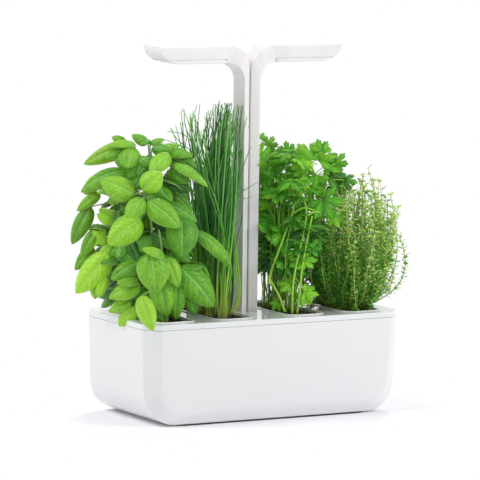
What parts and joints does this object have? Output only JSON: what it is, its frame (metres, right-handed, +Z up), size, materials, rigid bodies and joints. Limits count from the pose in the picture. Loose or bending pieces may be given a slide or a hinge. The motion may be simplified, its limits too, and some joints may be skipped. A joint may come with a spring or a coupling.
{
  "type": "countertop hydroponic garden",
  "caption": "White countertop herb garden: bevelled trough with water tank and deck, lift-out plant pods, and a T-shaped twin-arm grow lamp on a sliding mast.",
  "frame": {"origin": "on the surface it stands on, below the middle of the body, in the plane of the foot strip's underside", "axes": "+X to the right along the body's length, +Y from the front panel to the back, +Z up along the mast"},
  "size_m": [0.4075, 0.172, 0.44],
  "materials": {
    "white_gloss": "smooth gloss white moulding",
    "white_satin": "satin white moulding",
    "pod_white": "thin gloss white moulding",
    "tank_grey": "translucent grey polypropylene",
    "black_rubber": "matt soft rubber",
    "dark_plastic": "fine grained dark moulding",
    "spine_grey": "dark grey painted strip",
    "steel": "plain zinc-plated screws",
    "heatsink_metal": "bare extruded aluminium",
    "board_green": "solder-masked glass fibre board",
    "board_white": "white solder mask",
    "diode": "yellow phosphor in clear resin",
    "diffuser_white": "opal acrylic",
    "pad_felt": "felt-faced nylon",
    "soil": "loose dark potting soil",
    "wick": "white felt",
    "basil_leaf": "glossy cupped leaves",
    "chives_leaf": "fine hollow blades",
    "parsley_leaf": "lobed leaves on pale stems",
    "thyme_leaf": "tiny leaves on woody twigs",
    "float_foam": "closed foam",
    "float_red": "red indicator",
    "button_grey": "satin light grey button"
  },
  "bodies": {
    "root": {"outer_casing": "white_gloss", "foot_strip": "black_rubber", "foot_screws": "steel", "water_tank": "tank_grey", "tank_seal": "black_rubber", "deck": "white_gloss", "mast_socket": "dark_plastic", "socket_screws": "steel", "grip_pads": "pad_felt", "control_board": "board_green", "board_parts": "dark_plastic", "board_screws": "steel", "dc_jack": "dark_plastic", "jack_pin": "steel", "power_lead": "black_rubber", "button_board": "board_green", "button_switch": "dark_plastic", "button_screws": "steel", "float_guide": "tank_grey"},
    "lamp": {"left_arm": "white_satin", "right_arm": "white_satin", "mast_spine": "spine_grey", "mast_shoe": "dark_plastic", "clamp_screws": "steel", "left_cover": "white_satin", "right_cover": "white_satin", "left_diffuser": "diffuser_white", "right_diffuser": "diffuser_white", "left_led_board": "board_white", "right_led_board": "board_white", "left_leds": "diode", "right_leds": "diode", "left_heatsink": "heatsink_metal", "right_heatsink": "heatsink_metal", "left_wiring": "black_rubber", "right_wiring": "black_rubber"},
    "power_button": {"button_cap": "button_grey"},
    "water_float": {"float": "float_foam", "float_tip": "float_red"},
    "basil_unit": {"basil_pod": "pod_white", "basil_soil": "soil", "basil_wick": "wick", "basil_plant": "basil_leaf"},
    "chives_unit": {"chives_pod": "pod_white", "chives_soil": "soil", "chives_wick": "wick", "chives_plant": "chives_leaf"},
    "parsley_unit": {"parsley_pod": "pod_white", "parsley_soil": "soil", "parsley_wick": "wick", "parsley_plant": "parsley_leaf"},
    "thyme_unit": {"thyme_pod": "pod_white", "thyme_soil": "soil", "thyme_wick": "wick", "thyme_plant": "thyme_leaf"}
  },
  "joints": [
    {"name": "lamp_slide", "type": "slide", "parent": "root", "child": "lamp", "axis": [0, 0, 1], "range_m": [-0.03, 0.05]},
    {"name": "button_press", "type": "slide", "parent": "root", "child": "power_button", "axis": [0, 0, -1], "range_m": [0, 0.0015], "stiffness_N_per_m": 600, "springref_m": -0.0008},
    {"name": "float_rise", "type": "slide", "parent": "root", "child": "water_float", "axis": [0, 0, 1], "range_m": [0, 0.02]},
    {"name": "basil_lift", "type": "slide", "parent": "root", "child": "basil_unit", "axis": [0, 0, 1], "range_m": [0, 0.06]},
    {"name": "chives_lift", "type": "slide", "parent": "root", "child": "chives_unit", "axis": [0, 0, 1], "range_m": [0, 0.035]},
    {"name": "parsley_lift", "type": "slide", "parent": "root", "child": "parsley_unit", "axis": [0, 0, 1], "range_m": [0, 0.06]},
    {"name": "thyme_lift", "type": "slide", "parent": "root", "child": "thyme_unit", "axis": [0, 0, 1], "range_m": [0, 0.06]}
  ]
}
